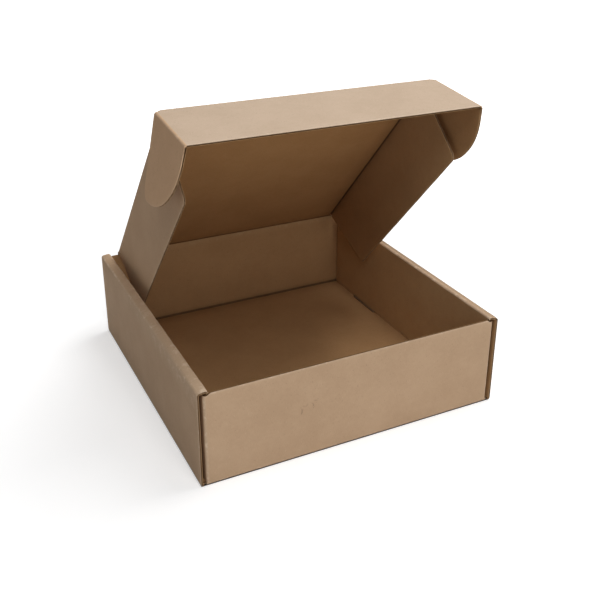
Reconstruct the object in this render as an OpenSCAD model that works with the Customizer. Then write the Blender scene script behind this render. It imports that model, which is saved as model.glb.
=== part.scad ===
// Corrugated mailer box, folded from one die-cut sheet of kraft board.
// Roll-end tuck-front style: the side walls roll over the end tabs and lock in
// slots in the base, and the lid hangs on the rear wall with its front flap half folded.
// Millimetres. The front wall faces -Y, and the origin is the middle of the underside.

/* [Tray] */
// Width outside, left to right
box_w = 200; // [140:1:400]
// Depth outside, front to rear
box_d = 200; // [150:1:400]
// Height outside
box_h = 62; // [45:1:90]

/* [Board] */
// Thickness of the corrugated board
board_t = 1.5; // [1.2:0.1:3]
// Inside radius of a fold
fold_r = 0.4; // [0.2:0.1:1]

/* [Side walls] */
// Open slit between the outer side panel and the end of the front wall
front_slit = 2.1; // [0.5:0.1:4]
// Play between an end tab and the inner side panel
tab_play = 0.2; // [0.1:0.1:1]
// Drop of the front and rear wall edges below the rolled strip
wall_drop = 0.3; // [0.2:0.1:3]
// Gap between the front wall and the inner side panel
panel_notch = 1.6; // [0.5:0.1:6]
// Gap under the inner side panel
panel_seat = 0.3; // [0.1:0.1:1]

/* [End tabs] */
// Length of the tabs folded in from the front and rear walls
tab_len = 52; // [20:1:70]
// Slope cut off the foot of each tab
tab_taper = 6; // [1:1:15]
// Drop of a tab and of its fold below the wall's edge
tab_drop = 1.5; // [0.3:0.1:4]

/* [Lock tabs] */
// Length of each lock tab
lock_len = 30; // [12:1:40]
// Distance of the lock tabs from the middle of the side
lock_at = 51; // [25:1:52]
// Play of a lock tab in its slot, lengthways
lock_play = 1; // [0.3:0.1:2]
// Width of the slot that shows inside the inner panel
slot_show = 1; // [0.2:0.1:3]
// Play between the lock tab and the outer side of its slot
slot_play = 0.3; // [0.1:0.1:1]

/* [Lid] */
// Gap between the lid's side fold and the inner side panel
lid_gap = 5.4; // [3:0.1:10]
// How far the lid is raised from closed, in degrees
lid_open = 47; // [0:1:100]
// Least distance between the swinging edge of the tuck flap and the front wall
tuck_swing = 6.1; // [3:0.1:20]
// Gap left for the bend between two hinged panels
crease_gap = 0.3; // [0.2:0.1:0.6]

/* [Wings] */
// Depth of the side wings
wing_d = 52; // [20:1:52]
// Distance of the wing's front edge from the lid's front fold
wing_front = 8; // [5:1:40]
// Slope of the wing's rear edge, in degrees
wing_slope = 20; // [5:1:40]

/* [Tuck flap] */
// Gap between the end of the closed flap and the inner side panel
flap_gap = 1.5; // [1:0.1:6]
// Distance of the flap's free edge from the floor
flap_floor = 10.5; // [5:0.5:20]
// Fold of the flap from the plane of the lid, in degrees
flap_fold = 54; // [0:1:90]

/* [Ears] */
// Length of each rounded ear
ear_len = 49; // [20:1:60]
// Fold of the left ear from the plane of the flap, in degrees
left_ear_fold = 79; // [0:1:90]
// Fold of the right ear from the plane of the flap, in degrees
right_ear_fold = 87; // [0:1:90]

/* [Hidden] */

// Steps in the arc of a rounded corner
arc_steps = 12;
// Side of a square that is larger than any fold
quarter = 10;
bend_r = board_t + fold_r;
half_w = box_w / 2;
half_d = box_d / 2;

// Rolled side wall, from the outer face inwards: outer panel, slit, end tab, play, inner panel
roll_w = 3 * board_t + front_slit + tab_play;
panel_x = half_w - roll_w;
wall_x = half_w - board_t - front_slit;
wall_top = box_h - bend_r - wall_drop;
panel_y = half_d - board_t - panel_notch;
tab_foot = board_t + panel_seat;

// Lid: panel_len runs from the rear hinge to the fold of the tuck flap
lid_half = panel_x - lid_gap;
flap_half = panel_x - flap_gap;
flap_h = box_h - board_t - flap_floor;
swing_r = box_d - 1.5 * board_t - tuck_swing;
panel_len = sqrt(pow(swing_r, 2) - pow(flap_h, 2));
wing_end = panel_len - wing_front;
hinge_edge = board_t / 2 + crease_gap;
ear_corner = 6;
ear_round = 26;
wing_round = 4;
flap_round = 2.5;
// Setback of the ear's rear edge from the flap's fold, at its root and at its end
ear_root = 1.2;
ear_back = 6.5;

kraft = [0.68, 0.57, 0.45];
kraft_lid = [0.73, 0.62, 0.5];
kraft_wing = [0.62, 0.51, 0.4];
kraft_flap = [0.8, 0.7, 0.58];
kraft_ear = [0.66, 0.55, 0.43];

// Outline with each corner [x, y, r] rounded to radius r by an arc
function along(a, b) = (b - a) / norm(b - a);
function corner(a, p, b, r) =
    let (to_a = along(p, a), to_b = along(p, b), half = acos(to_a * to_b) / 2,
         mid = (to_a + to_b) / norm(to_a + to_b), c = p + mid * r / sin(half),
         s = p + to_a * r / tan(half) - c, e = p + to_b * r / tan(half) - c)
    [for (i = [0 : arc_steps]) let (f = i / arc_steps, turn = acos(min(1, s * e / (r * r))))
        c + (s * sin((1 - f) * turn) + e * sin(f * turn)) / sin(turn)];
function rounded(pts) =
    let (n = len(pts))
    [for (i = [0 : n - 1])
        let (p = pts[i], a = pts[(i + n - 1) % n], b = pts[(i + 1) % n])
        each (p[2] > 0 ? corner([a[0], a[1]], [p[0], p[1]], [b[0], b[1]], p[2]) : [[p[0], p[1]]])];

// One quarter of a fold, turned by a, in the drawing plane
module bend_2d(a) {
    intersection() {
        difference() {
            circle(r = bend_r, $fn = 48);
            circle(r = fold_r, $fn = 48);
        }
        rotate(a) square(quarter);
    }
}

// Stands a drawing of x and z up and runs it from y = from to y = to
module along_y(from, to) {
    translate([0, to, 0]) rotate([90, 0, 0]) linear_extrude(to - from) children();
}

// Stands a drawing of y and z up and runs it from x = from to x = to
module along_x(from, to) {
    translate([from, 0, 0]) rotate([90, 0, 90]) linear_extrude(to - from) children();
}

module both_sides() {
    children();
    mirror([1, 0, 0]) children();
}

module both_ends() {
    children();
    mirror([0, 1, 0]) children();
}

// Outer side panel and the strip that rolls over the top of the wall
module outer_side() {
    along_y(-half_d, half_d) {
        translate([half_w - bend_r, bend_r]) bend_2d(-90);
        translate([half_w - board_t, bend_r]) square([board_t, box_h - 2 * bend_r]);
        translate([half_w - bend_r, box_h - bend_r]) bend_2d(0);
        translate([panel_x + bend_r, box_h - board_t]) square([roll_w - 2 * bend_r, board_t]);
        translate([panel_x + bend_r, box_h - bend_r]) bend_2d(90);
    }
}

// Inner side panel, with the lock tabs that reach down through the base
module inner_side() {
    along_y(-panel_y, panel_y)
        translate([panel_x, tab_foot]) square([board_t, box_h - bend_r - tab_foot]);
    both_ends()
        along_y(lock_at - lock_len / 2, lock_at + lock_len / 2)
            translate([panel_x, 0]) square([board_t, board_t + 2 * panel_seat]);
}

// Slots that the lock tabs stand in
module lock_slots() {
    both_ends()
        translate([panel_x - slot_show, lock_at - lock_len / 2 - lock_play, -1])
            cube([board_t + slot_show + slot_play, lock_len + 2 * lock_play, board_t + 2]);
}

// Front wall, or rear wall when mirrored, with the upright folds at its ends
module end_wall() {
    along_x(-wall_x, wall_x)
        translate([bend_r - half_d, bend_r]) bend_2d(180);
    translate([bend_r - wall_x, -half_d, bend_r])
        cube([2 * (wall_x - bend_r), board_t, wall_top - bend_r]);
    both_sides() {
        translate([wall_x - bend_r, bend_r - half_d, bend_r])
            linear_extrude(wall_top - tab_drop - bend_r) bend_2d(-90);
        end_tab();
    }
}

// Tab folded back from the end of a wall, held between the two side panels
module end_tab() {
    tab_top = wall_top - tab_drop;
    translate([wall_x - board_t, 0, 0])
        along_x(0, board_t)
            polygon(rounded([
                [bend_r - half_d, bend_r, 0],
                [tab_len - half_d, tab_foot + tab_taper, 3],
                [tab_len - half_d, tab_top - tab_taper, 8],
                [bend_r - half_d, tab_top, 0]
            ]));
}

// Top of the rear wall, rounded where the lid folds
module hinge_rail() {
    along_x(-lid_half, lid_half) {
        translate([half_d - board_t / 2, box_h - board_t / 2]) circle(d = board_t, $fn = 32);
        translate([half_d - board_t, wall_top - board_t])
            square([board_t, box_h - board_t / 2 - wall_top + board_t]);
    }
}

module base() {
    difference() {
        translate([bend_r - half_w, bend_r - half_d, 0])
            cube([2 * (half_w - bend_r), 2 * (half_d - bend_r), board_t]);
        both_sides() lock_slots();
    }
}

module tray() {
    color(kraft) {
        base();
        both_ends() end_wall();
        hinge_rail();
        both_sides() {
            outer_side();
            inner_side();
        }
    }
}

// Frame of the lid: it lies along -Y when closed, with its inner face down
module at_lid() {
    translate([0, half_d - board_t / 2, box_h - board_t / 2]) rotate([-lid_open, 0, 0]) children();
}

// Frame of the tuck flap: along -Y when it is level with the lid
module at_flap() {
    at_lid() translate([0, -panel_len, 0]) rotate([flap_fold, 0, 0]) children();
}

// Frame of an ear: along +X when it is level with the flap, and mirrored for the left one
module at_ear(side, fold) {
    at_flap() mirror([side < 0 ? 1 : 0, 0, 0])
        translate([flap_half - board_t / 2, 0, 0]) rotate([0, fold, 0]) children();
}

// A flat panel of board about the middle of its thickness
module panel(outline) {
    translate([0, 0, -board_t / 2]) linear_extrude(board_t) polygon(outline);
}

// Lid panel: round edge at the tuck fold, quarter-round edges where the wings fold down
module lid() {
    flat_half = lid_half - board_t;
    color(kraft_lid) at_lid() {
        translate([-flat_half, -panel_len, -board_t / 2])
            cube([2 * flat_half, panel_len - hinge_edge, board_t]);
        along_x(-flat_half, flat_half) translate([-panel_len, 0]) circle(d = board_t, $fn = 32);
        both_sides() along_y(-panel_len, -hinge_edge)
            translate([flat_half, -board_t / 2]) intersection() {
                circle(r = board_t, $fn = 48);
                square(quarter);
            }
    }
}

// Side wing, folded down along the lid's side
module wing() {
    rear_shift = (wing_d - crease_gap) * tan(wing_slope);
    rear = hinge_edge + board_t / 2;
    translate([lid_half - board_t, 0, -board_t / 2])
        along_x(0, board_t)
            polygon(rounded([
                [-rear, -crease_gap, 0],
                [-rear - rear_shift, -wing_d, wing_round],
                [-wing_end, -wing_d, wing_round],
                [-wing_end, -crease_gap, 0]
            ]));
}

module left_wing() {
    color(kraft_wing) at_lid() mirror([1, 0, 0]) wing();
}

module right_wing() {
    color(kraft_wing) at_lid() wing();
}

// Tuck flap: round edges at its ends, where the ears fold
module tuck_flap() {
    inner_half = flap_half - board_t / 2;
    color(kraft_flap) at_flap() {
        panel(rounded([
            [inner_half, -flap_h, 0],
            [inner_half, -hinge_edge, flap_round],
            [-inner_half, -hinge_edge, flap_round],
            [-inner_half, -flap_h, 0]
        ]));
        both_sides() along_y(-flap_h, -hinge_edge - flap_round)
            translate([inner_half, 0]) circle(d = board_t, $fn = 32);
    }
}

// Rounded ear at the end of the tuck flap
module ear() {
    panel(rounded([
        [hinge_edge, -ear_root, 0],
        [ear_len, -ear_back, ear_corner],
        [0.92 * ear_len, -0.6 * flap_h, ear_round],
        [0.42 * ear_len, 0.5 - flap_h, ear_round],
        [hinge_edge, -flap_h - 0.5, 0]
    ]));
}

module left_ear() {
    color(kraft_ear) at_ear(-1, left_ear_fold) ear();
}

module right_ear() {
    color(kraft_ear) at_ear(1, right_ear_fold) ear();
}

tray();
lid();
left_wing();
right_wing();
tuck_flap();
left_ear();
right_ear();
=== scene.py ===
import math

import bpy
import numpy as np
from mathutils import Matrix, Vector


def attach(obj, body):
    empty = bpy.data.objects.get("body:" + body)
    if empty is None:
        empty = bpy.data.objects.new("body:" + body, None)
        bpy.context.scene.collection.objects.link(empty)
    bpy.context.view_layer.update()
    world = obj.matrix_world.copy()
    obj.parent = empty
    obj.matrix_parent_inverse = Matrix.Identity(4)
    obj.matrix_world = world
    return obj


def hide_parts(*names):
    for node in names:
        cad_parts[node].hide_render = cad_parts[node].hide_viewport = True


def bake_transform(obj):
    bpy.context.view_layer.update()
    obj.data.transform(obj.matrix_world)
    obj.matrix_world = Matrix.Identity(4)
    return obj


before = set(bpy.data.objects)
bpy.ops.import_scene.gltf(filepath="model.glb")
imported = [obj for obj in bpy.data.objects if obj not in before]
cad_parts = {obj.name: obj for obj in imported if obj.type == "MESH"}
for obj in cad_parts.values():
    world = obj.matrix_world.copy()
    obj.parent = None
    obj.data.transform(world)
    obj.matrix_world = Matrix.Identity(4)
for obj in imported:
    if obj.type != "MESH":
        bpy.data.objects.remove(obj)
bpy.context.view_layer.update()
mm = 0.001


# The base: the middle panel of the die-cut sheet, which everything else is folded up from. The sheet is
# kraft E-flute board, two flat liner papers glued to a waved one, and its flutes run from side to side.
# Four slots beside the side walls take the lock tabs.
box_w, box_d, box_h = 200 * mm, 200 * mm, 62 * mm
board_t = 1.5 * mm
liner_t = 0.24 * mm
flute_t = 0.2 * mm
flute_pitch = 3.3 * mm
fold_r = 0.4 * mm
bend_mid = fold_r + board_t / 2
bend_out = fold_r + board_t
edge_crush, crush_reach = 0.24, 0.7 * mm
crease_press, crease_reach = 0.3, 0.9 * mm
# Painted shade: the value that darkens the liner faces toward the flutes, as the shade inside the flute
# openings.
flute_hole_shade = -0.8
X, Y, Z = np.eye(3)


def slab(P, N, low, high, uv, wear_and_painted_light, paper, hidden=None):
    """A closed sheet of paper: the surface P(s, t) moved along its normal N to low and to high, and
    joined round its four sides. The faces are turned over where N runs against the grid's own normal.
    The side named in hidden, which faces the flutes, is painted dark, as the shade inside the flute openings."""
    ns, nt = P.shape[:2]
    count = ns * nt
    shape = (ns, nt, 1)
    top = P + N * np.broadcast_to(np.reshape(high, shape) if np.ndim(high) else high, shape)
    under = P + N * np.broadcast_to(np.reshape(low, shape) if np.ndim(low) else low, shape)
    index = np.arange(count).reshape(ns, nt)
    cells = np.stack([index[:-1, :-1], index[1:, :-1], index[1:, 1:], index[:-1, 1:]], -1).reshape(-1, 4)
    rim = np.concatenate([index[0, :], index[1:, -1], index[-1, -2::-1], index[-2:0:-1, 0]])
    after = np.roll(rim, -1)
    sides = np.stack([rim, after, after + count, rim + count], -1)
    faces = np.concatenate([cells, cells[:, ::-1] + count, sides])
    across, along = P[1:, :-1] - P[:-1, :-1], P[:-1, 1:] - P[:-1, :-1]
    if (np.cross(across, along) * N[:-1, :-1]).sum() < 0:
        faces = faces[:, ::-1]
    # The faces toward the flutes get painted shade.
    wears = [0 * wear_and_painted_light + flute_hole_shade if side == hidden else wear_and_painted_light for side in ("high", "low")]
    return {"verts": np.concatenate([top.reshape(-1, 3), under.reshape(-1, 3)]), "faces": faces,
            "uv": np.tile(uv.reshape(-1, 2), (2, 1)), "wear_and_painted_light": np.stack(wears).reshape(-1), "paper": paper}


def spread(a, b, step, cut_a=False, cut_b=False):
    """Places from a to b, no more than step apart, and closer together beside a cut edge."""
    near = np.array([0.25, 0.6, 1.2]) * mm
    places = [np.linspace(a, b, max(2, math.ceil((b - a) / step) + 1))]
    places += [a + near] if cut_a else []
    places += [b - near] if cut_b else []
    return np.unique(np.round(np.concatenate(places), 6))


def board(shape, s_places, f_places, cuts="", creases=""):
    """Corrugated board round the middle surface shape(s, f), where s is the distance across the flutes.
    Liners lie at both faces, and between them a paper waves as amplitude times sin(2 pi s / pitch). Beside
    each side named in cuts the board is pressed thinner, and beside each side named in creases its inside
    paper is pressed in and painted darker, as the shade in the crease, both by the bell curve exp(-(distance
    / reach) squared). The sides are s0 and s1 at the ends of s, and t0 and t1 at the ends of t."""
    s_flute = np.unique(np.append(np.arange(s_places[0], s_places[-1], flute_pitch / 10), s_places[-1]))
    wave = board_t / 2 - liner_t - flute_t / 2
    slabs = []
    for s_line, papers in ((s_places, ("outside", "inside")), (s_flute, ("flutes",))):
        s, f = s_line[:, None], f_places[None, :]
        P, N, t, folds = shape(s, f)
        s = s + 0 * t
        gaps = {"s0": s - s_line[0], "s1": s_line[-1] - s, "t0": t - t[:, :1], "t1": t[:, -1:] - t}
        near = sum([np.exp(-(gaps[side] / crush_reach) ** 2) for side in cuts.split()], 0 * t)
        thin = 1 - edge_crush * np.clip(near, 0, 1)
        near_crease = sum([np.exp(-(gaps[side] / crease_reach) ** 2) for side in creases.split()], 0 * t)
        press = 1 - crease_press * np.clip(near_crease, 0, 1)
        # Paler beside cut edges, where they are scuffed, and along folds, partly scuffed and partly a painted
        # highlight; on a side wall's strip the shape adds painted light and shade.
        wear_and_painted_light = np.clip(near + folds, -1, 1)
        uv = np.stack([t, s], -1)
        for paper in papers:
            if paper == "flutes":
                turn = 2 * math.pi * s / flute_pitch
                steep = np.sqrt(1 + (2 * math.pi * wave / flute_pitch * np.cos(turn)) ** 2)
                centre, half = wave * np.sin(turn) * thin * press, flute_t / 2 * steep
                slabs.append(slab(P, N, centre - half, centre + half, uv, 0 * wear_and_painted_light, paper))
            else:
                side = thin if paper == "outside" else -thin * press
                face, core = side * board_t / 2, side * (board_t / 2 - liner_t)
                # Painted shade: the inside paper darkens beside a crease.
                marks = wear_and_painted_light if paper == "outside" else np.clip(wear_and_painted_light - near_crease, -1, 1)
                slabs.append(slab(P, N, np.minimum(face, core), np.maximum(face, core), uv, marks, paper,
                                  "low" if paper == "outside" else "high"))
    return slabs


def flat(origin, across, along, normal, t_from, t_to, bow=0.0):
    """Middle surface of a flat panel: origin + s across + t along, with t between t_from(s) and t_to(s).
    It bows out by bow times a half sine wave both ways, as loose board does."""
    def shape(s, f):
        low = t_from(s) if callable(t_from) else t_from + 0 * s
        high = t_to(s) if callable(t_to) else t_to + 0 * s
        t = low + f * (high - low)
        hollow = bow * np.sin(math.pi * (s - s.min()) / (np.ptp(s) + 1e-9)) * np.sin(math.pi * f)
        P = origin + s[..., None] * across + t[..., None] * along + hollow[..., None] * normal
        return P, np.broadcast_to(normal, P.shape), t, 0 * t
    return shape


class Wire:
    """A shader socket. Plain arithmetic on it adds the Math nodes that work the value out."""

    def __init__(self, finish, socket):
        self.finish, self.socket = finish, socket

    def __add__(self, other):
        return self.finish.maths("ADD", self, other)

    def __radd__(self, other):
        return self.finish.maths("ADD", other, self)

    def __sub__(self, other):
        return self.finish.maths("SUBTRACT", self, other)

    def __rsub__(self, other):
        return self.finish.maths("SUBTRACT", other, self)

    def __mul__(self, other):
        return self.finish.maths("MULTIPLY", self, other)

    def __rmul__(self, other):
        return self.finish.maths("MULTIPLY", other, self)


class Finish:
    """The nodes of one material, or of the sky, while they are wired up."""

    def __init__(self, owner):
        owner.use_nodes = True
        self.tree = owner.node_tree
        self.tree.nodes.clear()

    def add(self, kind, settings=None, sockets=None, out=0):
        """A node of this kind, with its settings and then its sockets given, as the Wire of one output."""
        node = self.tree.nodes.new("ShaderNode" + kind)
        for key, value in (settings or {}).items():
            setattr(node, key, value)
        for key, value in (sockets or {}).items():
            if isinstance(value, Wire):
                self.tree.links.new(value.socket, node.inputs[key])
            else:
                node.inputs[key].default_value = value
        return Wire(self, node.outputs[out]) if len(node.outputs) else node

    def maths(self, operation, *values):
        """A Math node of these values."""
        return self.add("Math", {"operation": operation}, dict(enumerate(values)))

    def parts(self, vector):
        """The x, y and z of a vector, as three Wires."""
        sockets = self.add("SeparateXYZ", {}, {0: vector}).socket.node.outputs
        return [Wire(self, socket) for socket in sockets]

    def step(self, value, low, high):
        """Smooth step of a value from 0 at low to 1 at high."""
        return self.add("MapRange", {"interpolation_type": "SMOOTHSTEP"},
                        {"Value": value, "From Min": low, "From Max": high})

    def bell(self, value, width):
        """Bell curve of a value: 1 at 0 and fading over width."""
        ratio = value * (1 / width)
        return self.maths("EXPONENT", 0 - ratio * ratio)

    def noise(self, vector, scale, detail=3.0, rough=0.55):
        """Noise round 0.5, with about scale waves to the metre."""
        return self.add("TexNoise", {}, {"Vector": vector, "Scale": scale, "Detail": detail,
                                         "Roughness": rough})

    def blend(self, factor, first, second):
        """A colour between two."""
        return self.add("Mix", {"data_type": "RGBA"}, {0: factor, 6: first, 7: second}, out=2)


def kraft(name, dark, light, worn_and_painted_light, sheen, marks=()):
    """Kraft paper: cloudy where the pulp is thicker, streaked by fibres that lie across the flutes, flecked,
    faintly ridged by the flutes under it, and paler where an edge or a fold is scuffed. The same paler tone
    paints highlights on folds and light on the wall strips, and a darker tone paints shade in creases, on the
    faces toward the flutes and on the strips, as the mesh attribute says. Dark and light are the tones of the
    clouds, the third tone that of a scuffed place and of painted light, and sheen the specular level. Marks
    are short scratches on the front wall: x, z, lean, length, width and strength."""
    material = bpy.data.materials.new(name)
    paper = Finish(material)
    place = paper.add("TexCoord", out=3)
    sheet = paper.add("UVMap", {"uv_map": "sheet"})
    fibre_way = paper.add("Mapping", {}, {"Vector": sheet, "Scale": (1.0, 0.22, 1.0)})
    cloud = paper.noise(place, 38.0, 4.0)
    mottle = paper.noise(place, 260.0, 3.0, 0.7)
    fibres = paper.noise(fibre_way, 2300.0, 2.0, 0.6)
    tone = 0.5 * cloud + 0.25 * mottle + 0.25 * fibres
    colour = paper.blend(paper.step(tone, 0.36, 0.64), (*dark, 1), (*light, 1))
    flecks = paper.step(paper.noise(place, 900.0, 1.0), 0.66, 0.74)
    colour = paper.blend(0.22 * flecks, colour, (*[0.45 * c for c in dark], 1))
    pale_flecks = paper.step(paper.noise(fibre_way, 1400.0, 1.0), 0.68, 0.78)
    colour = paper.blend(0.2 * pale_flecks, colour, (*worn_and_painted_light, 1))
    wear_light_and_shade = paper.add("Attribute", {"attribute_name": "wear_and_painted_light"}, out=2)
    patches = paper.step(paper.noise(place, 170.0, 4.0, 0.7), 0.5, 0.66)
    # Paler where edges are scuffed and where a highlight or light is painted on.
    pale = paper.maths("MAXIMUM", wear_light_and_shade, 0.0)
    colour = paper.blend(pale * (0.25 + 0.6 * patches), colour, (*worn_and_painted_light, 1))
    # Painted shade: darker in creases, on faces toward the flutes and on the shaded strips.
    painted_shade = paper.maths("MAXIMUM", 0.0 - wear_light_and_shade, 0.0)
    colour = paper.blend(0.8 * painted_shade, colour, (*[0.25 * c for c in dark], 1))
    x, y, z = paper.parts(place)
    grain = paper.step(paper.noise(place, 1500.0, 2.0), 0.42, 0.58)
    on_front = paper.step(y, 4 * mm - box_d / 2, 2 * mm - box_d / 2)
    for mark_x, mark_z, lean, length, width, strength in marks:
        c, s = math.cos(lean), math.sin(lean)
        along = (x - mark_x) * c + (z - mark_z) * s
        off = (z - mark_z) * c - (x - mark_x) * s - along * along * (0.35 / length)
        line = paper.bell(along, length) * paper.bell(off, width) * on_front * grain
        colour = paper.blend(line * strength, colour, (*[0.5 * c for c in dark], 1))
    ridges = paper.maths("SINE", paper.parts(sheet)[1] * (2 * math.pi / flute_pitch))
    height = fibres * 0.35 + mottle * 0.5 + ridges * 0.16 + cloud * 0.6
    bump = paper.add("Bump", {}, {"Strength": 0.25, "Distance": 0.18 * mm, "Height": height})
    skin = paper.add("BsdfPrincipled", {}, {"Base Color": colour, "Roughness": 0.74 + 0.12 * mottle,
                                            "Normal": bump, "Specular IOR Level": sheen})
    paper.add("OutputMaterial", {}, {"Surface": skin})
    return material


scuffs = [(-37 * mm, 31 * mm, 1.35, 2.4 * mm, 0.42 * mm, 0.8),
          (-34.5 * mm, 34.5 * mm, 0.2, 1.6 * mm, 0.36 * mm, 0.7),
          (-29.5 * mm, 33.5 * mm, 1.75, 1.9 * mm, 0.4 * mm, 0.75),
          (-27.5 * mm, 36.5 * mm, 0.3, 1.4 * mm, 0.36 * mm, 0.7)]
# Copies of one board's paper, painted for the light that falls on each part: outside is the plain tone; pale
# is lighter and whiter for the lid and flap, painted for the sheen of the light from above; warm is a more
# saturated copy for the inner panels, painted for the light bounced round inside the tray; shade, inside and
# lining are darker copies, painted shade for the lid's underside and the creases, the inner faces, and the
# wings' inner faces; wing is a little darker, painted shade on the wings' outer faces; ear is lighter and
# warmer, painted light on the ears. Flutes is the waved paper.
papers = {word: kraft("kraft_" + word, *tones) for word, tones in {
    "outside": ((0.49, 0.33, 0.206), (0.54, 0.37, 0.236), (0.74, 0.58, 0.42), 0.2, scuffs),
    "pale": ((0.51, 0.382, 0.272), (0.56, 0.425, 0.31), (0.8, 0.65, 0.49), 0.3),
    "warm": ((0.53, 0.345, 0.182), (0.58, 0.385, 0.205), (0.62, 0.45, 0.28), 0.1),
    "shade": ((0.365, 0.193, 0.079), (0.405, 0.219, 0.092), (0.5, 0.33, 0.18), 0.05),
    "inside": ((0.385, 0.222, 0.104), (0.425, 0.25, 0.12), (0.5, 0.33, 0.18), 0.05),
    "wing": ((0.465, 0.3, 0.178), (0.51, 0.335, 0.203), (0.64, 0.48, 0.33), 0.2),
    "ear": ((0.585, 0.37, 0.218), (0.635, 0.41, 0.245), (0.7, 0.52, 0.36), 0.15),
    "lining": ((0.41, 0.248, 0.124), (0.45, 0.278, 0.142), (0.5, 0.33, 0.18), 0.05),
    "flutes": ((0.26, 0.16, 0.085), (0.34, 0.22, 0.125), (0.5, 0.36, 0.24), 0.05)}.items()}


def folded_piece(name, slabs, outside="outside", inside="inside"):
    """One mesh of many slabs, with the distances along and across the flutes as its UV map."""
    tones = {"outside": outside, "inside": inside}
    slabs = [{**part, "paper": tones.get(part["paper"], part["paper"])} for part in slabs]
    mesh = bpy.data.meshes.new(name)
    starts = np.cumsum([0] + [len(part["verts"]) for part in slabs])
    verts = np.concatenate([part["verts"] for part in slabs])
    faces = np.concatenate([part["faces"] + start for part, start in zip(slabs, starts)])
    mesh.from_pydata(verts.tolist(), [], faces.tolist())
    kinds = sorted({part["paper"] for part in slabs}, key=list(papers).index)
    for kind in kinds:
        mesh.materials.append(papers[kind])
    numbers = [np.full(len(part["faces"]), kinds.index(part["paper"])) for part in slabs]
    mesh.polygons.foreach_set("material_index", np.concatenate(numbers).astype(np.int32))
    loops = np.empty(len(mesh.loops), np.int32)
    mesh.loops.foreach_get("vertex_index", loops)
    uv = np.concatenate([part["uv"] for part in slabs])[loops]
    mesh.uv_layers.new(name="sheet").data.foreach_set("uv", uv.ravel().astype(np.float32))
    # This attribute makes scuffed edges and painted highlights paler, and painted shade darker.
    wear_and_painted_light = np.concatenate([part["wear_and_painted_light"] for part in slabs]).astype(np.float32)
    mesh.attributes.new("wear_and_painted_light", "FLOAT", "POINT").data.foreach_set("value", wear_and_painted_light)
    mesh.polygons.foreach_set("use_smooth", np.ones(len(mesh.polygons), bool))
    mesh.set_sharp_from_angle(angle=math.radians(32))
    piece = bpy.data.objects.new(name, mesh)
    bpy.context.scene.collection.objects.link(piece)
    return piece


front_slit, tab_play, panel_seat, panel_notch = 2.1 * mm, 0.2 * mm, 0.3 * mm, 0.5 * mm
panel_x = box_w / 2 - (3 * board_t + front_slit + tab_play)
base_x, base_y = box_w / 2 - bend_out, box_d / 2 - bend_out
lock_at, lock_half, lock_play = 51 * mm, 15 * mm, 1 * mm
slot_show, slot_play = 1.7 * mm, 0.3 * mm
base_s_step, base_t_step = 12 * mm, 15 * mm
slot_in, slot_out = panel_x - slot_show, panel_x + board_t + slot_play
slot_from, slot_to = lock_at - lock_half - lock_play, lock_at + lock_half + lock_play


def base_part(x_ends, y_from, y_to, cuts=""):
    """A rectangle of the base. Its sides that lie at the front and rear folds are creased, and its inside
    paper is painted darker there, as the shade in the crease.
    """
    x_low, x_high = sorted(x_ends)
    middle = flat(np.array([0, 0, board_t / 2]), Y, X, -Z, x_low, x_high)
    s_places = spread(y_from, y_to, base_s_step, True, True)
    length = x_high - x_low
    creases = " ".join(side for side, y in (("s0", y_from), ("s1", y_to)) if abs(y) == base_y)
    return board(middle, s_places, spread(0, length, base_t_step) / length, cuts, creases)


base = base_part((-slot_in, slot_in), -base_y, base_y)
for side in (-1, 1):
    base += base_part((side * slot_out, side * base_x), -base_y, base_y)
    for y_from, y_to, cuts in ((-base_y, -slot_to, "s1"), (-slot_from, slot_from, "s0 s1"),
                               (slot_to, base_y, "s0")):
        base += base_part((side * slot_in, side * slot_out), y_from, y_to, cuts)
base_panel = folded_piece("base_panel", base)
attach(base_panel, "tray")
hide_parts("tray")


# The side walls: each is an outer panel that rolls over the top, 7 mm wide, and comes down again as an inner
# panel. Two lock tabs on its foot stand in the base's slots, and hold the wall without glue. The strip on top
# slopes down to the outer edge, and its folds are pressed, wander a little, are scuffed and carry a painted
# highlight. The strip's top is painted lighter in front and darker to the rear on the left, and darker all
# along on the right, as the light and shade that fall on it.
strip_top, press_mid = box_h - board_t / 2, 0.78 * mm
strip_zone, fold_inset, fold_rough = 2.5 * mm, 1.25, 0.13 * mm
inner_bow, lock_foot, hair = 0.25 * mm, 0.15 * mm, 0.001 * mm


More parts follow.
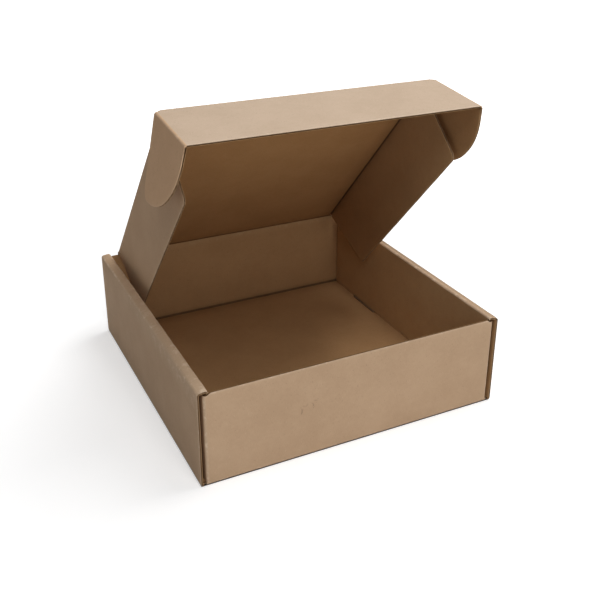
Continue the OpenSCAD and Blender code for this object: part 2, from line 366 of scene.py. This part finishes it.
def fold_line(corners, radius, flat_step=12 * mm, turns=8, dense=0.0):
    """A path through corners in a plane, each inner corner rounded to the radius by an arc. Gives the
    points, the normals to the right of the way, the distance gone, and how near a fold each point is.
    The last stretch before a bend, as long as dense, gets points of its own."""
    corners = [np.array(c, float) for c in corners]
    points, normals, folds = [], [], []
    here = corners[0]
    for i in range(1, len(corners)):
        way = (corners[i] - here) / np.linalg.norm(corners[i] - here)
        right = np.array([way[1], -way[0]])
        last = i == len(corners) - 1
        if last:
            reach, turn = 0.0, 0.0
        else:
            onward = (corners[i + 1] - corners[i]) / np.linalg.norm(corners[i + 1] - corners[i])
            turn = math.atan2(way[0] * onward[1] - way[1] * onward[0], way @ onward)
            reach = radius * math.tan(abs(turn) / 2)
        end = corners[i] - way * reach
        stretch = max(np.linalg.norm(end - here), hair)
        straight = spread(0, stretch, flat_step)
        if dense and stretch > 2 * dense:
            straight = np.unique(np.append(straight, np.linspace(stretch - dense, stretch, 8)))
        points += [here + way * d for d in straight]
        normals += [right] * len(straight)
        folds += [0.0] * len(straight)
        if not last:
            centre = end - right * radius * math.copysign(1, turn)
            for k in range(1, turns):
                a = turn * k / turns
                spin = np.array([[math.cos(a), -math.sin(a)], [math.sin(a), math.cos(a)]])
                points.append(centre + spin @ (end - centre))
                normals.append(spin @ right)
                folds.append(math.sin(math.pi * k / turns))
            here = corners[i] + onward * reach
    points, normals = np.array(points), np.array(normals)
    gone = np.append(0, np.cumsum(np.linalg.norm(np.diff(points, axis=0), axis=1)))
    return points, normals, gone, np.array(folds)


def ragged(s, seed, size):
    """An uneven line along a fold or a cut: the sum of sine waves 31, 13 and 5.7 mm long and 1, 0.6 and
    0.35 high, divided by 1.6 and times size."""
    waves = ((31 * mm, 1.0, 1), (13 * mm, 0.6, 2), (5.7 * mm, 0.35, 3))
    return size * sum(high * np.sin(2 * math.pi * s / long + k * seed) for long, high, k in waves) / 1.6


def swept(path, across, axis_a, axis_b, origin, side=1, bow=0.0, rough=0.0, seed=0.0, strip_light_and_shade=(0.0, 0.0)):
    """Middle surface of board that follows a fold line: s along the fold and t along the path. Flat stretches
    bow by a half sine wave both ways. Folds wander by the ragged line, and lie in by fold_inset times rough
    so that they stay within the outline; the folds come out paler, partly scuffed and partly a painted
    highlight. The strip on top of the wall is painted by the two values given for the front and the rear:
    paler where they are positive, as light, and darker where they are negative, as shade."""
    points, normals, gone, folds = path

    def shape(s, f):
        pick = (f[0] * (len(gone) - 1)).round().astype(int)
        q, n, t, fold = points[pick], normals[pick], gone[pick], folds[pick]
        swell = bow * np.sin(math.pi * (t - t[0]) / np.ptp(t)) * np.sin(math.pi * (s - s.min()) / np.ptp(s))
        push = swell * (1 - fold) + (ragged(s, seed, rough) - fold_inset * rough) * fold
        q = q[None] + push[..., None] * n[None]
        P = origin + s[..., None] * across + side * q[..., :1] * axis_a + q[..., 1:] * axis_b
        N = side * n[None, :, :1] * axis_a + n[None, :, 1:] * axis_b + 0 * P
        on_top = (1 - fold) * (points[pick][:, 1] > strip_top - strip_zone)
        # Painted light and shade on the strip's top, from front to rear.
        worn_and_painted_light = fold + on_top * (strip_light_and_shade[0] + (strip_light_and_shade[1] - strip_light_and_shade[0]) * (s / box_d + 0.5))
        return P, N, t[None] + 0 * s, worn_and_painted_light
    return shape


def along_path(path):
    """The fractions that pick every point of a fold line."""
    return np.linspace(0, 1, len(path[2]))


wall_x_mid, panel_x_mid = box_w / 2 - board_t / 2, panel_x + board_t / 2
panel_end = box_d / 2 - board_t - panel_notch
inner = fold_line([(panel_x_mid, box_h - bend_out), (panel_x_mid, board_t + panel_seat)], bend_mid)
lock = fold_line([(panel_x_mid, board_t + panel_seat), (panel_x_mid, lock_foot)], bend_mid)
# The last pair paints the strip's top in front and at the rear: paler where positive, as light, and darker
# where negative, as shade.
for side, word, seed, lean, strip_light_and_shade in ((-1, "left", 0.7, 0.7 * mm, (1.0, -0.2)),
                                    (1, "right", 2.1, 1.9 * mm, (-0.2, -0.6))):
    rolled = fold_line([(base_x, board_t / 2), (wall_x_mid, board_t / 2), (wall_x_mid, strip_top - lean),
                        (panel_x_mid, strip_top), (panel_x_mid, box_h - bend_out - hair)], press_mid)
    rolled_shape = swept(rolled, Y, X, Z, np.zeros(3), side, 0.0, fold_rough, seed, strip_light_and_shade)
    wall = board(rolled_shape, spread(-box_d / 2, box_d / 2, 3 * mm, True, True), along_path(rolled), "s0 s1")
    inner_shape = swept(inner, Y, X, Z, np.zeros(3), side, inner_bow)
    panel = board(inner_shape, spread(-panel_end, panel_end, 12 * mm, True, True), along_path(inner), "s0 s1")
    # The inner panel's face toward the tray takes the warm copy of the paper, painted for the warmer light
    # bounced round inside the tray.
    wall += [{**part, "paper": "warm"} if part["paper"] == "outside" else part for part in panel]
    for end in (-1, 1):
        tab_low, tab_high = sorted((end * (lock_at - lock_half), end * (lock_at + lock_half)))
        wall += board(swept(lock, Y, X, Z, np.zeros(3), side), spread(tab_low, tab_high, 10 * mm),
                      along_path(lock), "t1")
    side_wall = folded_piece(word + "_side_wall", wall)
    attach(side_wall, "tray")
    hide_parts("tray")


# The front and rear walls: each is folded up from the base along the flutes, and its ends are folded back
# as tabs that the side walls hold between their two panels. The front wall's top is a plain cut edge, and
# the rear wall's carries the lid in the middle.
wall_x = box_w / 2 - board_t - front_slit
wall_drop = 0.3 * mm
wall_top = box_h - bend_out - wall_drop
tab_len, tab_foot, tab_taper = 52 * mm, board_t + panel_seat, 6 * mm
tab_sink, sink_reach, tab_turn, dense_end = 1.5 * mm, 3 * mm, 5 * mm, 3.5 * mm
tab_top, wall_bow = wall_top - tab_sink, -0.3 * mm
foot_press, rail_step = 0.35, 0.3 * mm
lid_half = panel_x - 5.4 * mm
hinge = np.array([0, box_d / 2 - board_t / 2, box_h - board_t / 2])
crease_half = 0.8 * mm


def tab_reach(z):
    """Length of a tab at height z: full in the middle, and cut back at its foot and its head by a quarter
    sine wave to the power 0.8."""
    foot = np.clip((z - bend_out) / (tab_foot + tab_taper - bend_out), 0.02, 1)
    head = np.clip((tab_top - z) / tab_taper, 0.02, 1)
    return (tab_len - bend_out) * np.sin(math.pi / 2 * np.minimum(foot, head)) ** 0.8


def end_wall(sign, tops):
    """A wall with its two tabs and the fold at its foot. On its middle surface t runs along the wall,
    round its end and down the tab. The wall bows in by a cosine of x, most at a free top edge (front) or
    halfway up (rear), and the tabs sink below the wall's top by a smooth step of x."""
    path = fold_line([(0, 0), (wall_x - board_t / 2, 0), (wall_x - board_t / 2, tab_turn)], bend_mid,
                     dense=dense_end)
    points, normals, gone, folds = path
    bent = int(np.argmax(gone >= gone[-1] - tab_turn + bend_mid - hair))
    points, normals, gone, folds = points[:bent + 1], normals[:bent + 1], gone[:bent + 1], folds[:bent + 1]
    steps = np.linspace(0, 1, 9)[1:]

    def shape(s, f):
        n_fixed = len(points)
        q = np.broadcast_to(points, (len(s), n_fixed, 2))
        tab = np.stack([points[-1, 0] + 0 * s * steps, points[-1, 1] + tab_reach(s) * steps], -1)
        q = np.concatenate([q, tab], 1)
        n = np.concatenate([normals, np.repeat(normals[-1:], len(steps), 0)])
        t = np.concatenate([gone + 0 * s, gone[-1] + tab_reach(s) * steps], 1)
        fold = np.append(folds, 0 * steps)
        q, n = np.concatenate([q[:, :0:-1] * [-1, 1], q], 1), np.concatenate([n[:0:-1] * [-1, 1], n])
        t, fold = np.concatenate([-t[:, :0:-1], t], 1), np.append(fold[:0:-1], fold)
        rise = (s - s.min()) / np.ptp(s) * (0.5 if sign < 0 else 1)
        swell = wall_bow * np.cos(np.clip(q[..., 0] / wall_x, -1, 1) * math.pi / 2) * np.sin(math.pi * rise)
        sink = np.clip((np.abs(q[..., 0]) - wall_x + bend_out + sink_reach) / sink_reach, 0, 1)
        sink = tab_sink * (3 - 2 * sink) * sink ** 2 * (s - bend_out) / (wall_top - bend_out)
        P = (q[..., :1] * X + (sign * (box_d / 2 - board_t / 2 + swell - q[..., 1]))[..., None] * Y
             + (s - sink)[..., None] * Z)
        N = n[:, :1] * X - sign * n[:, 1:] * Y + 0 * P
        return P, N, t, fold + 0 * t

    count = 2 * (len(points) + len(steps)) - 1
    # The inside paper beside the foot crease is painted darker, as the shade in the crease.
    slabs = board(shape, tops, np.linspace(0, 1, count), "s1", "s0")
    bend = fold_line([(-base_y, board_t / 2), (-box_d / 2 + board_t / 2, board_t / 2),
                      (-box_d / 2 + board_t / 2, bend_out + hair)], bend_mid, turns=14)
    return slabs + bent_strip(bend, -sign, wall_x)


def bent_strip(path, sign, half, wide=8):
    """A crushed fold that runs along the flutes, from x = -half to half: board pressed solid, with the
    outside paper on one half of its thickness and the inside paper on the other. The inside is pressed in, so
    that it is half the thickness times 1 - crease_press - foot_press times nearness squared. The inside paper
    is painted dark all over, as the shade in the fold, and the outside paper is paler along the bend, partly
    scuffed and partly a painted highlight."""
    points, normals, gone, folds = path
    x = np.linspace(-half, half, wide)
    q = np.broadcast_to(points[:, None], (len(points), wide, 2))
    P = x[None, :, None] * X + sign * q[..., :1] * Y + q[..., 1:] * Z
    N = np.broadcast_to((sign * normals[:, None, :1] * Y + normals[:, None, 1:] * Z), P.shape)
    N = N if N[0, 0, 2] < 0 else -N
    uv = np.stack([x[None] + 0 * gone[:, None], gone[:, None] + 0 * x[None]], -1)
    near = folds[:, None] + 0 * x[None]
    groove = board_t / 2 * (1 - crease_press - foot_press * near ** 2)
    return [slab(P, N, 0.0, board_t / 2, uv, near, "outside"),
            slab(P, N, -groove, 0.0, uv, 0 * near - 1, "inside")]


front_wall = folded_piece("front_wall", end_wall(-1, spread(bend_out, wall_top, 4 * mm, True, True)))
rear_slabs = end_wall(1, spread(bend_out, wall_top, 4 * mm, True))
rail = flat(np.array([0, box_d / 2 - board_t / 2, 0]), Z, X, Y, -lid_half, lid_half)
rear_slabs += board(rail, spread(wall_top, hinge[2] - crease_half, rail_step), spread(0, 1, 0.1), "s1")
rear_wall = folded_piece("rear_wall", rear_slabs)
for piece in (front_wall, rear_wall):
    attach(piece, "tray")
    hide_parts("tray")


# The lid: a flat panel hinged on the rear wall by a pressed crease, and as wide as fits between the side
# walls with room for the ears. It stands 47 degrees open, so its outer face looks up and back.
lid_open, lid_len, lid_bow = math.radians(47), 185.013 * mm, 0.5 * mm
fold_press = 0.4
lid_way = -math.cos(lid_open) * Y + math.sin(lid_open) * Z
lid_in = -math.sin(lid_open) * Y - math.cos(lid_open) * Z
flat_half = lid_half - board_t
lid_shape = flat(hinge, lid_way, X, -lid_in, -flat_half, flat_half, lid_bow)
lid_places = spread(crease_half, lid_len - crease_half, 9 * mm, True, True)
lid_across = spread(0, 2 * flat_half, 12 * mm, True, True) / (2 * flat_half)
# The inside paper is painted darker beside all four creases, as the shade there; the outer face takes the
# pale copy, painted for the sheen of the light from above, and the inner face the shade copy, painted shade.
lid_slabs = board(lid_shape, lid_places, lid_across, "", "s0 s1 t0 t1")
lid_panel = folded_piece("lid_panel", lid_slabs, "pale", "shade")
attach(lid_panel, "lid")
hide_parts("lid")


def crease(name, pivot, way_in, way_out, outward, along, s_from, s_to, flutes_cross=True,
           half=crease_half, outside="pale"):
    """A pressed crease between two panels: an arc from half before the pivot to half past it, swept along the
    fold. Its inside is pressed in, so that it is half the thickness times 1 - crease_press - fold_press times
    nearness squared."""
    turn = math.acos(float(way_in @ way_out))
    radius = half / math.tan(turn / 2)
    start, end = pivot - way_in * half, pivot + way_out * half
    centre = start - outward * radius
    a = np.linspace(0, turn, 19)[None, :, None]
    arm = start - centre
    P_line = centre + arm * np.cos(a) + way_in * radius * np.sin(a)
    N_line = outward * np.cos(a) + way_in * np.sin(a)
    s = spread(s_from, s_to, 6 * mm)
    P = P_line + s[:, None, None] * along
    N = N_line + 0 * P
    t = a[..., 0] * radius + 0 * s[:, None]
    uv = np.stack([t, s[:, None] + 0 * t] if flutes_cross else [s[:, None] + 0 * t, t], -1)
    near = np.sin(math.pi * a[..., 0] / turn) + 0 * t
    groove = board_t / 2 * (1 - crease_press - fold_press * near ** 2)
    # The outside paper is paler along the bend, partly scuffed and partly a painted highlight, and the inside
    # paper is painted dark, as the shade in the crease; the inside takes the shade copy of the paper.
    slabs = [slab(P, N, 0.0 * t, board_t / 2 + 0 * t, uv, near ** 0.5, "outside"),
             slab(P, N, -groove, 0.0 * t, uv, -near ** 0.5, "inside")]
    piece = folded_piece(name, slabs, outside, "shade")
    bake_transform(piece)


crease("lid_crease", hinge, Z, lid_way, Y, X, -lid_half, lid_half, False)


# The wings: the lid's side flaps, folded down square. In front they are cut square, and at the back they
# slope to clear the rear wall. The flutes end at their long free edges and show there as a row of openings.
wing_d, wing_front, wing_slope = 52 * mm, 8 * mm, math.radians(20)
wing_end = lid_len - wing_front
wing_play, wing_corner, wing_bow, wing_rough = 0.3 * mm, 4 * mm, 0.3 * mm, 0.06 * mm
wing_rear = board_t + wing_play
wing_tail = wing_end - 5 * mm


def rounded(corners, steps=10):
    """A chain of corners (x, y, radius), each inner one rounded to its radius by an arc."""
    pts = np.array([c[:2] for c in corners])
    chain = [pts[0]]
    for i in range(1, len(pts) - 1):
        to_a, to_b = (pts[j] - pts[i] for j in (i - 1, i + 1))
        to_a, to_b = to_a / np.linalg.norm(to_a), to_b / np.linalg.norm(to_b)
        half = math.acos(float(to_a @ to_b)) / 2
        centre = pts[i] + (to_a + to_b) / np.linalg.norm(to_a + to_b) * corners[i][2] / math.sin(half)
        first = pts[i] + to_a * corners[i][2] / math.tan(half) - centre
        last = pts[i] + to_b * corners[i][2] / math.tan(half) - centre
        turn = math.pi - 2 * half
        k = np.linspace(0, 1, steps + 1)[:, None]
        chain += list(centre + (first * np.sin((1 - k) * turn) + last * np.sin(k * turn)) / math.sin(turn))
    return np.array(chain + [pts[-1]])


wing_chain = rounded([(wing_rear, 0, 0), (wing_rear + wing_d * math.tan(wing_slope), wing_d, wing_corner),
                      (wing_end, wing_d, wing_corner), (wing_end, 0, 0)])[:-1]


def wing_edge(seed):
    """Depth of a wing at each place along it: its chain of corners, with the cut a little ragged."""
    return lambda s: np.interp(s, wing_chain[:, 0], wing_chain[:, 1]) + ragged(s, seed, wing_rough)


for side, word, seed in ((-1, "left", 0.4), (1, "right", 1.9)):
    root = hinge + side * (lid_half - board_t / 2) * X + lid_in * board_t / 2
    wing_shape = flat(root, lid_way, lid_in, side * X, 0.0, wing_edge(seed), side * wing_bow)
    s_places = np.append(spread(wing_rear + wing_play, wing_tail, 1.5 * mm, True),
                         spread(wing_tail, wing_end, 0.4 * mm, False, True)[1:])
    # The inside paper is painted darker beside the wing crease, as the shade there; the outer face takes the
    # wing copy, a little darker, painted shade, and the inner face the lining copy, darker, painted shade.
    wing = board(wing_shape, s_places, spread(0, wing_d, 7 * mm, True, True) / wing_d, "s0 s1 t1", "t0")
    wing_piece = folded_piece(word + "_wing_panel", wing, "wing", "lining")
    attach(wing_piece, word + "_wing")
    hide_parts(word + "_wing")
    pivot = hinge + side * flat_half * X + lid_in * board_t / 2
    a = np.linspace(0, math.pi / 2, 15)[None, :, None]
    out = -lid_in * np.cos(a) + side * X * np.sin(a)
    s = spread(wing_rear, wing_end, 6 * mm)
    P = pivot + s[:, None, None] * lid_way + out * board_t / 2
    uv = np.stack([a[..., 0] * board_t + 0 * s[:, None], s[:, None] + 0 * a[..., 0]], -1)
    near = np.sin(2 * a[..., 0]) + 0 * s[:, None]
    groove = board_t / 2 * (1 - crease_press - fold_press * near ** 2)
    # The crease's outside is paler along the bend, partly scuffed and partly a painted highlight, and its
    # inside is painted dark all over, as the shade in the crease.
    corner = [slab(P, out + 0 * P, 0.0, board_t / 2, uv, near, "outside"),
              slab(P, out + 0 * P, -groove, 0.0, uv, 0 * near - 1, "inside")]
    wing_crease = folded_piece(word + "_wing_crease", corner, "wing", "lining")
    tuple(pivot - lid_in * board_t)
    tuple(pivot + side * X * board_t)
    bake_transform(wing_crease)


# The tuck flap: the lid's front flap, which goes down behind the front wall. It is half folded, and its
# long free edge is cut along the flutes, so that it shows one dark groove between two papers.
flap_fold, flap_h = math.radians(54), 50 * mm
flap_half = panel_x - 1.5 * mm
flap_mid = flap_half - board_t / 2
flap_root = hinge + lid_len * lid_way
flap_way = lid_way * math.cos(flap_fold) + lid_in * math.sin(flap_fold)
flap_in = lid_in * math.cos(flap_fold) - lid_way * math.sin(flap_fold)
flap_round, flap_bow = 2.5 * mm, 0.35 * mm
ear_half = 0.56 * mm


def flap_end(s):
    """Half width of the flap: its corners beside the crease are rounded to flap_round."""
    rise = np.clip((s - crease_half) / flap_round, 0, 1)
    return flap_mid - ear_half - flap_round * (1 - np.sqrt(1 - (1 - rise) ** 2))


flap_shape = flat(flap_root, flap_way, X, -flap_in, lambda s: -flap_end(s), flap_end, flap_bow)
flap_places = np.append(spread(crease_half, crease_half + flap_round, 0.3 * mm),
                        spread(crease_half + flap_round, flap_h, 5 * mm, False, True)[1:])
flap_across = spread(0, 2 * flap_mid, 7 * mm, True, True) / (2 * flap_mid)
# The inside paper is painted darker beside the flap's crease and the ears' creases, as the shade there, and
# the outer face takes the pale copy, painted for the sheen of the light from above.
flap_slabs = board(flap_shape, flap_places, flap_across, "s1", "s0 t0 t1")
flap_panel = folded_piece("tuck_flap_panel", flap_slabs, "pale")
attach(flap_panel, "tuck_flap")
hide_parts("tuck_flap")
crease("tuck_flap_crease", flap_root, lid_way, flap_way, -lid_in, X, -lid_half, lid_half,
       False)


# The ears: rounded tabs at the ends of the tuck flap. They go down inside the side walls when the lid is
# shut, and keep it shut by their friction. The left one has sprung out a little further than the right.
ear_len, ear_root, ear_back, ear_corner, ear_round = 49 * mm, 1.2 * mm, 6.5 * mm, 6 * mm, 38 * mm
ear_bow, ear_past, ear_tail = 0.3 * mm, 0.5 * mm, ear_back + 5 * mm
ear_chain = rounded([(ear_root, ear_half, 0), (ear_back, ear_len, ear_corner),
                     (0.62 * flap_h, 0.94 * ear_len, ear_round),
                     (flap_h, 0.44 * ear_len, ear_round), (flap_h + ear_past, ear_half, 0)])
ear_places = np.append(spread(ear_root + 0.1 * mm, ear_tail, 0.3 * mm),
                       spread(ear_tail, flap_h + ear_past - 0.1 * mm, 1 * mm, False, True)[1:])
for side, word, fold in ((-1, "left", math.radians(79)), (1, "right", math.radians(87))):
    ear_pivot = flap_root + side * flap_mid * X
    ear_way = side * X * math.cos(fold) + flap_in * math.sin(fold)
    ear_out = side * X * math.sin(fold) - flap_in * math.cos(fold)
    ear_shape = flat(ear_pivot, flap_way, ear_way, ear_out, ear_half,
                     lambda s: np.interp(s, ear_chain[:, 0], ear_chain[:, 1]), ear_bow)
    # The inside paper is painted darker beside the ear's crease, as the shade there, and the outer face takes
    # the ear copy, lighter and warmer, painted light.
    ear = board(ear_shape, ear_places, spread(0, ear_len, 5 * mm, True, True) / ear_len, "t1", "t0")
    ear_piece = folded_piece(word + "_ear_panel", ear, "ear")
    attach(ear_piece, word + "_ear")
    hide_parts(word + "_ear")
    # The ear's crease takes the ear copy outside, so that its painted fold highlight has the ear's tone.
    crease(word + "_ear_crease", ear_pivot, side * X, ear_way, -flap_in, flap_way,
           crease_half + flap_round / 2, flap_h, half=ear_half, outside="ear")


# The studio: a wide white floor that keeps the box's soft shadow, a pale sky, and three lamps: one above on
# the right, one above in front, and a low one in front. The camera stands left of the box and above it, where
# the photograph was taken from. Under the box the floor is painted nearly black, as the shade seen through
# the slots.
floor_half, floor_z = 4.0, -0.2 * mm
floor_mesh = bpy.data.meshes.new("floor")
floor_corners = [(x * floor_half, y * floor_half, floor_z) for x, y in ((-1, -1), (1, -1), (1, 1), (-1, 1))]
floor_mesh.from_pydata(floor_corners, [], [(0, 1, 2, 3)])
floor = bpy.data.objects.new("floor", floor_mesh)
bpy.context.scene.collection.objects.link(floor)


def seen_white(finish):
    """1 for the rays that may see plain white: those of the camera, and those mirrored or let through."""
    rays = finish.add("LightPath").socket.node.outputs
    camera_ray, mirrored, let_through = (Wire(finish, rays[word]) for word in (
        "Is Camera Ray", "Is Glossy Ray", "Is Transmission Ray"))
    return finish.maths("MAXIMUM", finish.maths("MAXIMUM", camera_ray, mirrored), let_through)


floor_mesh.materials.append(bpy.data.materials.new("floor_white"))
ground = Finish(floor_mesh.materials[0])
on_floor = ground.add("TexCoord", out=3)
from_box = ground.add("VectorMath", {"operation": "LENGTH"}, {0: on_floor}, out=1)
x_side, y_side, _ = ground.parts(ground.add("VectorMath", {"operation": "ABSOLUTE"}, {0: on_floor}))
beside = ground.step(ground.maths("MAXIMUM", x_side, y_side), box_w / 2 - 1 * mm, box_w / 2)
# Painted shade: the floor under the box is nearly black, as the shade seen through the slots.
painted_shade_under_box = ground.add("BsdfDiffuse", {}, {"Color": (0.06, 0.05, 0.04, 1)})
matt_white = ground.add("BsdfDiffuse", {}, {"Color": (0.82, 0.82, 0.82, 1)})
matt = ground.add("MixShader", {}, {0: beside, 1: painted_shade_under_box, 2: matt_white})
glow = ground.add("Emission", {}, {"Color": (1, 1, 1, 1), "Strength": 1.0})
both = ground.add("AddShader", {}, {0: matt, 1: glow})
share = seen_white(ground) * beside * (0.45 + 0.55 * ground.step(from_box, 0.18, 0.6))
surface = ground.add("MixShader", {}, {0: share, 1: matt, 2: both})
ground.add("OutputMaterial", {}, {"Surface": surface})

bpy.context.scene.world = bpy.data.worlds.new("sky")
sky = Finish(bpy.context.scene.world)
soft = sky.add("Background", {}, {"Color": (0.97, 0.98, 1.0, 1), "Strength": 0.1})
white = sky.add("Background", {}, {"Color": (1, 1, 1, 1), "Strength": 1.0})
sky.add("OutputWorld", {}, {"Surface": sky.add("MixShader", {}, {0: seen_white(sky), 1: soft, 2: white})})


def lamp(name, place, aim, size, power):
    """A square soft box that faces a point."""
    light = bpy.data.lights.new(name, "AREA")
    light.size, light.energy = size, power
    obj = bpy.data.objects.new(name, light)
    bpy.context.scene.collection.objects.link(obj)
    obj.location = place
    obj.rotation_euler = (Vector(aim) - Vector(place)).to_track_quat("-Z", "Y").to_euler()


box_top = (0, 0, 0.06)
lamp("top_lamp", (0.5, 0.1, 1.2), box_top, 0.8, 9.4)
lamp("key_lamp", (-0.2, -0.7, 1.1), box_top, 0.7, 5.2)
lamp("front_lamp", (0, -1.4, 0.45), box_top, 0.6, 4.6)

camera = bpy.data.objects.new("camera", bpy.data.cameras.new("camera"))
bpy.context.scene.collection.objects.link(camera)
bpy.context.scene.camera = camera
camera.data.sensor_width, camera.data.lens = 36.0, 51.61
camera.data.shift_y = -0.1
look, upward = Vector((0.4081, 0.82389, -0.39326)), Vector((0.17169, 0.35381, 0.91942))
camera.matrix_world = Matrix((look.cross(upward), upward, -look)).transposed().to_4x4()
camera.location = (-0.2229, -0.4717, 0.3165)
camera.data.clip_start = 0.01

bpy.context.scene.view_settings.view_transform = "Standard"
